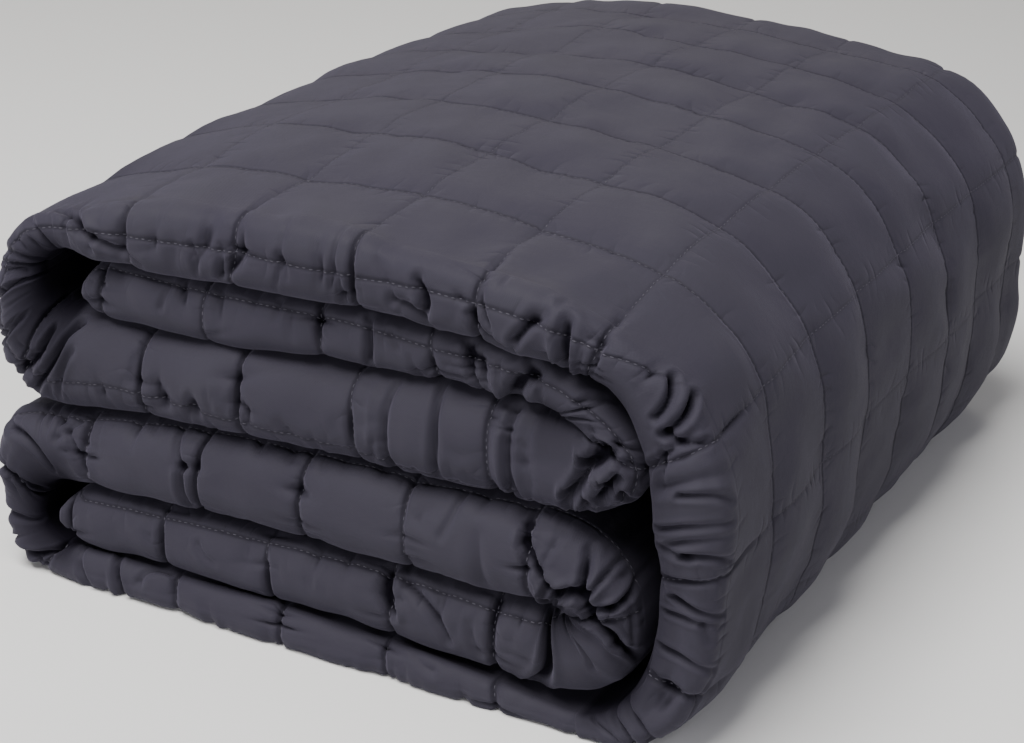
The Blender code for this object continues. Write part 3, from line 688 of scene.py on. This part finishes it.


# The blanket: the bare strip with its relief, one closed mesh.  The fields tell its material how
# far each point is raised and creased, where it shows, how much painted shade it gets deep in a
# fold, and where it has its stitch lines.
def makeBlanket():
    stations = stationTable()
    places = columnPlaces(stitchLines()[:, 0])
    grid = gridCoordinates(places, stations)
    bare = bareSurface(grid)
    rise, creased = relief(grid, bare)
    points = bare + gridNormals(bare) * rise[..., None]
    points[..., 2] = np.maximum(points[..., 2], 0.0)

    first, last = showingSpan()
    full = (places > first) & (places < last)
    always = stations[5].astype(bool)
    count = len(always)
    present = full[:, None] | always
    present[1::2] = np.arange(count) <= quilt["frontSpans"]
    number = np.cumsum(present).reshape(present.shape) - 1
    corners = bodyFaces(full, always)
    sizes = np.array([face.shape[1] for face in corners])
    column, station = np.concatenate(corners, axis=1)
    at = (column, station % count)
    blanket = makeMesh("blanketCloth", points[present], sizes, number[at])

    steps = np.linalg.norm(np.roll(bare, -1, axis=1) - bare, axis=-1)
    around = np.concatenate([np.zeros((len(places), 1)), np.cumsum(steps, axis=1)], axis=1)
    addUvMap(blanket.data, "cloth", places[column], around[column, station])
    addUvMap(blanket.data, "squares", grid.column[at], grid.row[at])
    onSide = (grid.region == onSideA) + 0 * grid.along
    fields = {
        # painted shade: this field darkens the cloth deep in the folds
        "raised": rise, "creased": creased, "paintedFoldShade": paintedFoldShade(grid),
        "showing": np.where(onSide > 0, openShare(grid), onEdges(grid)),
        "ribbed": np.where(onSide > 0, quilt["columnsOnTop"], 1.0),
        "lined": 1 - quilt["plainWrap"] * plainWrap(grid),
    }
    for name, values in fields.items():
        field = blanket.data.attributes.new(name, "FLOAT", "POINT")
        field.data.foreach_set("value", values[present].astype(np.float32))
    return blanket, grid, points


# Painted shade by how deep the cloth lies in a fold, from 0 in the open to 1 well between two
# plies: as the cube of the way round an edge to "lip", then evenly over "lipReach" behind it.
# In a turn it also rises evenly over the inner part of the edge, from "lead" degrees on.
def paintedFoldShade(grid):
    clear = openShare(grid)
    along, inner = grid.along[:, :1], np.zeros(grid.turn.shape)
    for name in turns:
        (low, high), lead = span[name], fold["leftLead" if name in stack["showing"] else "lead"]
        inTurn = within(along, low, high, fold["fade"], 0.5)
        inner = np.maximum(inner, inTurn * np.clip((lead - grid.turn) / fold["span"], 0, 1))
    share = np.abs(grid.turn) / 90
    onEdge = fold["lip"] * share ** 3 * np.where(grid.turn < 0, 1.0, 1 - clear)
    deep = blend(fold["lip"], 1, np.clip(pastEdge(grid) / fold["lipReach"], 0, 1))
    onSide = deep * np.where(grid.region == onSideA, 1 - clear, 1.0)
    return np.where(onEdges(grid) > 0, np.maximum(onEdge, inner * fold["inner"]), onSide)


# Points or normals of the surface at fractional columns and stations, from the four nearest.
def onSurface(field, column, station):
    left, low = np.minimum(column.astype(int), len(field) - 2), station.astype(int)
    a, b = (column - left)[:, None], (station - low)[:, None]
    lower, upper = (field[left, k] * (1 - a) + field[left + 1, k] * a for k in (low, low + 1))
    return lower * (1 - b) + upper * b


sewing = {
    "pitch": 0.0027, "length": 0.0017, "width": 0.00042, "height": 0.00024,
    "sink": 0.00010,  # how deep the ends of a stitch go into the cloth
    "wander": 0.00012,  # how far a stitch strays from its line
    "lowest": 0.004,  # height under which the cloth lies on the floor and has none
    "before": 0.035, "after": 0.010,  # how far rows on the side reach past the top and the wrap
    "frontEnd": -84,  # degrees round the front edge from which a row shows on it
}


# Paths of the stitch lines as rows of fractional column and station: along every stitch row that
# shows, and round every line across the strip.
def stitchPaths(grid):
    places, paths = grid.along[:, 0], []
    columns = np.arange(len(places), dtype=float)
    low, high = span["wrap"][0] + quilt["wrapRowOne"], span["wrap"][1]
    for squaresBefore in (0, 1):
        angle = grid.rowOne[:, 0] - squaresBefore * 90 * stack["square"] / grid.quarter[:, 0]
        onFront = (angle > sewing["frontEnd"]) & (angle < 90)
        onFront = np.flatnonzero(onFront & ((places < low) | (places > high)))
        for run in np.split(onFront, np.flatnonzero(np.diff(onFront) > 1) + 1):
            paths.append((columns[run], (angle[run] + 90) / 180 * quilt["frontSpans"]))
    first, last = span["ply1"][0] - sewing["before"], span["ply6"][0] + sewing["after"]
    inShow = columns[(places > first) & (places < last)]
    sideA = np.flatnonzero(grid.region == onSideA)
    rowTwo = sideA[0] + quilt["frontRows"]
    for row in range(stack["rows"]):
        paths.append((inShow, np.full(len(inShow), float(rowTwo + row * quilt["rowsPerSquare"]))))
    for crossing in stitchLines()[:, 0]:
        column = float(np.argmin(np.abs(places - crossing)))
        lastStation = sideA[-1] + 6 if first < crossing < last else quilt["frontSpans"] - 3
        station = np.arange(3.0, lastStation, 0.5)
        paths.append((np.full(len(station), column), station))
    return paths


def alongPath(field, length, stops):
    return np.stack([np.interp(stops, length, field[:, k]) for k in range(3)], axis=1)


# Middle, way and normal of every stitch, evenly spaced along their paths.
def stitchSeats(grid, points):
    normals = gridNormals(points)
    half, pitch = sewing["length"] / 2, sewing["pitch"]
    seats = []
    for column, station in stitchPaths(grid):
        at, up = (onSurface(field, column, station) for field in (points, normals))
        length = totals(np.linalg.norm(np.diff(at, axis=0), axis=1))
        stops = np.arange(pitch / 2, max(length[-1], pitch), pitch)
        way = alongPath(at, length, stops + half) - alongPath(at, length, stops - half)
        seats.append(np.stack([alongPath(at, length, stops), way, alongPath(up, length, stops)]))
    middle, way, up = np.concatenate(seats, axis=1)
    above = middle[:, 2] > sewing["lowest"]
    return middle[above], unit(way[above]), unit(up[above])


# One joined piece of stitches.  Each is a small lens, three rings of four points and two tips,
# laid along its line: point = middle + along x + aside y + normal z.
def makeStitching(grid, points):
    middle, way, up = stitchSeats(grid, points)
    aside = np.cross(up, way)
    rng = np.random.default_rng(5)
    middle = middle + aside * rng.normal(0, sewing["wander"], len(middle))[:, None]

    half, wide, high, sink = sewing["length"] / 2, sewing["width"], sewing["height"], sewing["sink"]
    ring = np.array([(0, 1), (1, 0), (0, -1), (-1, 0)], float)
    shape = [(-half, 0.0, -sink)]
    for x, size in ((-0.62 * half, 0.8), (0.0, 1.0), (0.62 * half, 0.8)):
        rise = (high - sink) * (1 - (x / half) ** 2) - sink * 0.5
        shape += [(x, a * wide / 2 * size, rise + b * high / 2 * size) for a, b in ring]
    shape = np.array(shape + [(half, 0.0, -sink)])
    pairs = [(j, (j + 1) % 4) for j in range(4)]
    sides = [(k + 4 + a, k + 4 + b, k + b, k + a) for k in (1, 5) for a, b in pairs]
    tips = [(1 + a, 1 + b, 0) for a, b in pairs] + [(9 + b, 9 + a, 13) for a, b in pairs]
    everyPoint = middle[:, None] + way[:, None] * shape[:, :1] + aside[:, None] * shape[:, 1:2]
    everyPoint = (everyPoint + up[:, None] * shape[:, 2:]).reshape(-1, 3)
    sizes = np.tile([4] * len(sides) + [3] * len(tips), len(middle))
    corner = np.concatenate([np.array(face) for face in sides + tips])
    corner = (corner[None] + np.arange(len(middle))[:, None] * len(shape)).ravel()
    return makeMesh("stitching", everyPoint, sizes, corner)


# Links the wires among these values to a node's sockets, and sets the rest as constants.
def feed(made, values):
    for name, value in values.items():
        if isinstance(value, Wire):
            value.tree.links.new(value.socket, made.inputs[name])
        else:
            made.inputs[name].default_value = value


# Wraps one socket, so that shader maths reads as an expression.
class Wire:
    def __init__(self, tree, socket=None):
        self.tree, self.socket = tree, socket

    # Any node: its kind, its settings, the values or wires of its sockets, and which output.
    def node(self, kind, settings=(), inputs=(), output=0):
        made = self.tree.nodes.new("ShaderNode" + kind)
        for name, value in dict(settings).items():
            setattr(made, name, value)
        feed(made, dict(inputs))
        return Wire(self.tree, made.outputs[output])

    def maths(self, operation, *values):
        return self.node("Math", {"operation": operation}, dict(enumerate(values)))

    def __add__(self, other):
        return self.maths("ADD", self, other)

    def __radd__(self, other):
        return self.maths("ADD", other, self)

    def __sub__(self, other):
        return self.maths("SUBTRACT", self, other)

    def __rsub__(self, other):
        return self.maths("SUBTRACT", other, self)

    def __mul__(self, other):
        return self.maths("MULTIPLY", self, other)

    def __rmul__(self, other):
        return self.maths("MULTIPLY", other, self)

    def __truediv__(self, other):
        return self.maths("DIVIDE", self, other)

    def __pow__(self, other):
        return self.maths("POWER", self, other)

    def sine(self):
        return self.maths("SINE", self)

    def size(self):
        return self.maths("ABSOLUTE", self)

    def clamped(self):
        return self.maths("MINIMUM", self.maths("MAXIMUM", self, 0.0), 1.0)

    # exp(-(d / w)^2)
    def bell(self, width):
        return self.maths("EXPONENT", 0.0 - (self / width) ** 2.0)

    def parts(self):
        made = self.node("SeparateXYZ", {}, {0: self}).socket.node
        return [Wire(self.tree, output) for output in made.outputs]

    def noise(self, place, scale, detail=2.0, roughness=0.5):
        return self.node("TexNoise", {}, {
            "Vector": place, "Scale": scale, "Detail": detail, "Roughness": roughness})

    def field(self, name):
        return self.node("Attribute", {"attribute_name": name}, output=2)

    def mixColour(self, share, *colours):
        slots = {0: share}
        for slot, value in zip((6, 7), colours):
            slots[slot] = value if isinstance(value, Wire) else (*value, 1.0)
        return self.node("Mix", {"data_type": "RGBA"}, slots, output=2)


# Gives an object a new material, and returns its wire for building with and its shader.
def newMaterial(thing, name):
    material = bpy.data.materials.new(name)
    thing.data.materials.append(material)
    material.use_nodes = True
    tree = material.node_tree
    return Wire(tree), tree.nodes["Principled BSDF"]


clothLook = {
    "colour": (0.0240, 0.0220, 0.0315), "lighter": (0.0310, 0.0295, 0.0380),
    # painted shade colour: the stitch-line grooves are mixed towards it, and the shaded copy in folds
    # and creases takes it
    "seam": (0.0026, 0.0022, 0.0042),
    "foldShadeMax": 0.95,  # painted shade: share of the darker shader inside the folds
    "threadPitch": 0.00034, "weaveHeight": 0.00006, "slubHeight": 0.00008, "fineHeight": 0.00022,
    "grooveWidth": 0.017, "grooveDepth": 0.0005, "grooveShadeMax": 0.42,
    "creaseFrom": 0.0012, "creaseSpan": 0.0022, "creaseShadeMax": 0.85,  # painted shade: cloth sunk this deep in a crease takes the darker shader
    "wornFrom": 0.0022, "wornGain": 600.0,  # cloth raised further than this is paler
    "puckerPitch": 0.0078, "puckerReach": 0.13, "puckerDepth": 0.0007, "puckerWander": 9.0,
    "roughness": 0.58, "specular": 0.05, "sheen": 0.07, "sheenRoughness": 0.5,
    "sheenTint": (0.80, 0.74, 1.0), "foldRoughness": 0.8,
}


# Closely woven cotton: a plain weave sin(u) sin(v) on the cloth's own map, faint slubs and
# clouding, a groove with puckers and painted shade on the stitch lines, paler worn crests, and
# painted shade deep in folds and creases.
def addCloth(thing):
    look = clothLook
    wire, shader = newMaterial(thing, "woven cotton")
    place = wire.node("TexCoord", output=3)
    clothMap = wire.node("UVMap", {"uv_map": "cloth"})
    u, v, _ = clothMap.parts()
    threads = math.pi / look["threadPitch"]
    weave = (u * threads).sine() * (v * threads).sine()
    slub = wire.noise(clothMap, 900.0, 2.0, 0.6)
    cloud = wire.noise(place, 14.0, 3.0, 0.55)
    fine = wire.noise(place, 160.0, 3.0, 0.6)

    across, up, _ = wire.node("UVMap", {"uv_map": "squares"}).parts()
    showing = wire.field("showing")
    toSeam = [(a - a.maths("ROUND", a)).size() for a in (across, up)]
    lines = [apart.bell(look["grooveWidth"]) * wire.field(name)
             for apart, name in zip(toSeam, ("ribbed", "lined"))]
    groove = wire.maths("MAXIMUM", *lines) * showing
    worn = ((wire.field("raised") - look["wornFrom"]) * look["wornGain"]).clamped() * fine

    puckers = []
    for along, apart, wanderScale, gateScale in ((u, toSeam[1], 38.0, 75.0), (v, toSeam[0], 47.0, 87.0)):
        wander = wire.noise(clothMap, wanderScale, 1.0) * look["puckerWander"]
        line = 1.0 - (along * (math.pi / look["puckerPitch"]) + wander).sine().size()
        gate = (wire.noise(clothMap, gateScale, 1.0) * 4.0 - 1.8).clamped()
        puckers.append(line ** 1.6 * gate * apart.bell(look["puckerReach"]) * showing)
    height = weave * (look["weaveHeight"] / 2) - groove * look["grooveDepth"]
    height = height + slub * look["slubHeight"] + fine * look["fineHeight"]
    height = height - (puckers[0] + puckers[1]) * look["puckerDepth"]
    bump = wire.node("Bump", {}, {"Strength": 1.0, "Distance": 1.0, "Height": height})
    share = (cloud * 0.9 + slub * 0.35 + worn * 0.5 - 0.42).clamped()
    base = wire.mixColour(share, look["colour"], look["lighter"])
    # painted shade in the stitch-line grooves
    base = wire.mixColour(groove * look["grooveShadeMax"], base, look["seam"])
    rough = look["roughness"] + (slub - 0.5) * 0.15 + (fine - 0.5) * 0.10
    feed(shader, {"Base Color": base, "Roughness": rough, "Normal": bump,
                  "Sheen Weight": look["sheen"], "Sheen Roughness": look["sheenRoughness"],
                  "Sheen Tint": (*look["sheenTint"], 1.0), "Specular IOR Level": look["specular"]})

    # painted shade: cloth deep in a fold or a crease takes a darker, shaded copy of the shader, without
    # any sheen
    paintedCreaseShade = ((0.0 - wire.field("creased") - look["creaseFrom"]) / look["creaseSpan"]).clamped()
    shade = wire.maths("MAXIMUM", wire.field("paintedFoldShade") * look["foldShadeMax"], paintedCreaseShade * look["creaseShadeMax"])
    dark = wire.node("BsdfPrincipled", {}, {
        "Base Color": (*look["seam"], 1.0), "Roughness": look["foldRoughness"],
        "Specular IOR Level": 0.0, "Normal": bump})
    lit = Wire(wire.tree, shader.outputs[0])
    mix = wire.node("MixShader", {}, {0: shade, 1: lit, 2: dark})
    feed(wire.tree.nodes["Material Output"], {"Surface": mix})


threadLook = {
    "colour": (0.072, 0.068, 0.086), "darker": (0.030, 0.028, 0.040), "roughness": 0.6,
    "specular": 0.25, "strandRate": 18000.0, "strandHeight": 0.00004,
}


# Twisted thread: diagonal strands from a sine of the place, and some stitches darker.
def addThread(thing):
    look = threadLook
    wire, shader = newMaterial(thing, "sewing thread")
    place = wire.node("TexCoord", output=3)
    x, y, z = place.parts()
    strand = ((x * 0.8 + y * 0.6 + z * 0.5) * look["strandRate"]).sine() * look["strandHeight"]
    tone = wire.noise(place, 420.0, 1.0)
    base = wire.mixColour((tone * 1.6 - 0.3).clamped(), look["darker"], look["colour"])
    bump = wire.node("Bump", {}, {"Strength": 0.6, "Distance": 1.0, "Height": strand})
    rough = look["roughness"] + (tone - 0.5) * 0.2
    feed(shader, {"Base Color": base, "Roughness": rough, "Normal": bump,
                  "Specular IOR Level": look["specular"]})


studio = {
    "floor": 3.2, "floorColour": (0.58, 0.58, 0.58), "floorTone": (0.60, 0.60, 0.60), "sky": 0.13,
    "floorGap": 0.0003,  # how far the floor lies under the stack
    "lens": 73.85, "shiftX": 0.0292, "shiftY": -0.0032,
    "eye": (0.3634, -0.7605, 0.3910), "yaw": -27.72, "pitch": -21.98, "roll": 1.8392,  # degrees
}

# Area lights: name, place, what it points at, size, watts and colour.
lights = (
    ("softbox", (-0.25, -0.80, 1.85), (0, 0, 0.1), (1.4, 1.1), 90, (1.0, 0.985, 0.955)),
    ("front", (-0.1, -2.1, 0.50), (0, 0, 0.06), (1.4, 0.6), 25, (0.98, 0.97, 1.0)),
    ("side", (1.7, -0.1, 1.6), (0, 0, 0.08), (1.2, 0.9), 12, (0.93, 0.91, 1.0)),
    ("back", (-0.9, 1.7, 1.1), (0, 0, 0.15), (1.6, 0.9), 7.5, (1.0, 0.96, 0.86)),
)


def makeFloor():
    reach, low = studio["floor"], -studio["floorGap"]
    corners = np.array([(x * reach, y * reach, low) for x, y in ((-1, -1), (1, -1), (1, 1), (-1, 1))])
    floor = makeMesh("studioFloor", corners, np.array([4]), np.arange(4))
    wire, shader = newMaterial(floor, "pale floor")
    tone = wire.noise(wire.node("TexCoord", output=3), 3.0, 2.0)
    feed(shader, {"Base Color": wire.mixColour(tone, studio["floorColour"], studio["floorTone"]),
                  "Roughness": 0.9})


def makeLight(name, place, aim, size, power, colour):
    light = bpy.data.lights.new(name, "AREA")
    light.shape, (light.size, light.size_y) = "RECTANGLE", size
    light.energy, light.color = power, colour
    lamp = addObject(name, light)
    lamp.location = place
    lamp.rotation_euler = (Vector(aim) - Vector(place)).to_track_quat("-Z", "Y").to_euler()


def makeCamera():
    data = bpy.data.cameras.new("camera")
    data.sensor_width, data.lens = 36.0, studio["lens"]
    data.shift_x, data.shift_y = studio["shiftX"], studio["shiftY"]
    data.clip_start = 0.01
    camera, pose = addObject("camera", data), Matrix.Translation(studio["eye"])
    for degrees, axis in ((-studio["yaw"], "Z"), (90 + studio["pitch"], "X"), (studio["roll"], "Z")):
        pose = pose @ Matrix.Rotation(math.radians(degrees), 4, axis)
    camera.matrix_world = pose
    bpy.context.scene.camera = camera


def makeSky():
    world = bpy.data.worlds.new("studio")
    bpy.context.scene.world = world
    world.use_nodes = True
    feed(world.node_tree.nodes["Background"], {"Color": (1, 1, 1, 1), "Strength": studio["sky"]})


print("working out the folded cloth")
blanket, grid, points = makeBlanket()
addCloth(blanket)
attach(blanket, "root")
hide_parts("blanket")

print("sewing")
stitching = makeStitching(grid, points)
addThread(stitching)
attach(stitching, "root")

print("setting up the studio")
makeFloor()
makeSky()
for light in lights:
    makeLight(*light)
makeCamera()
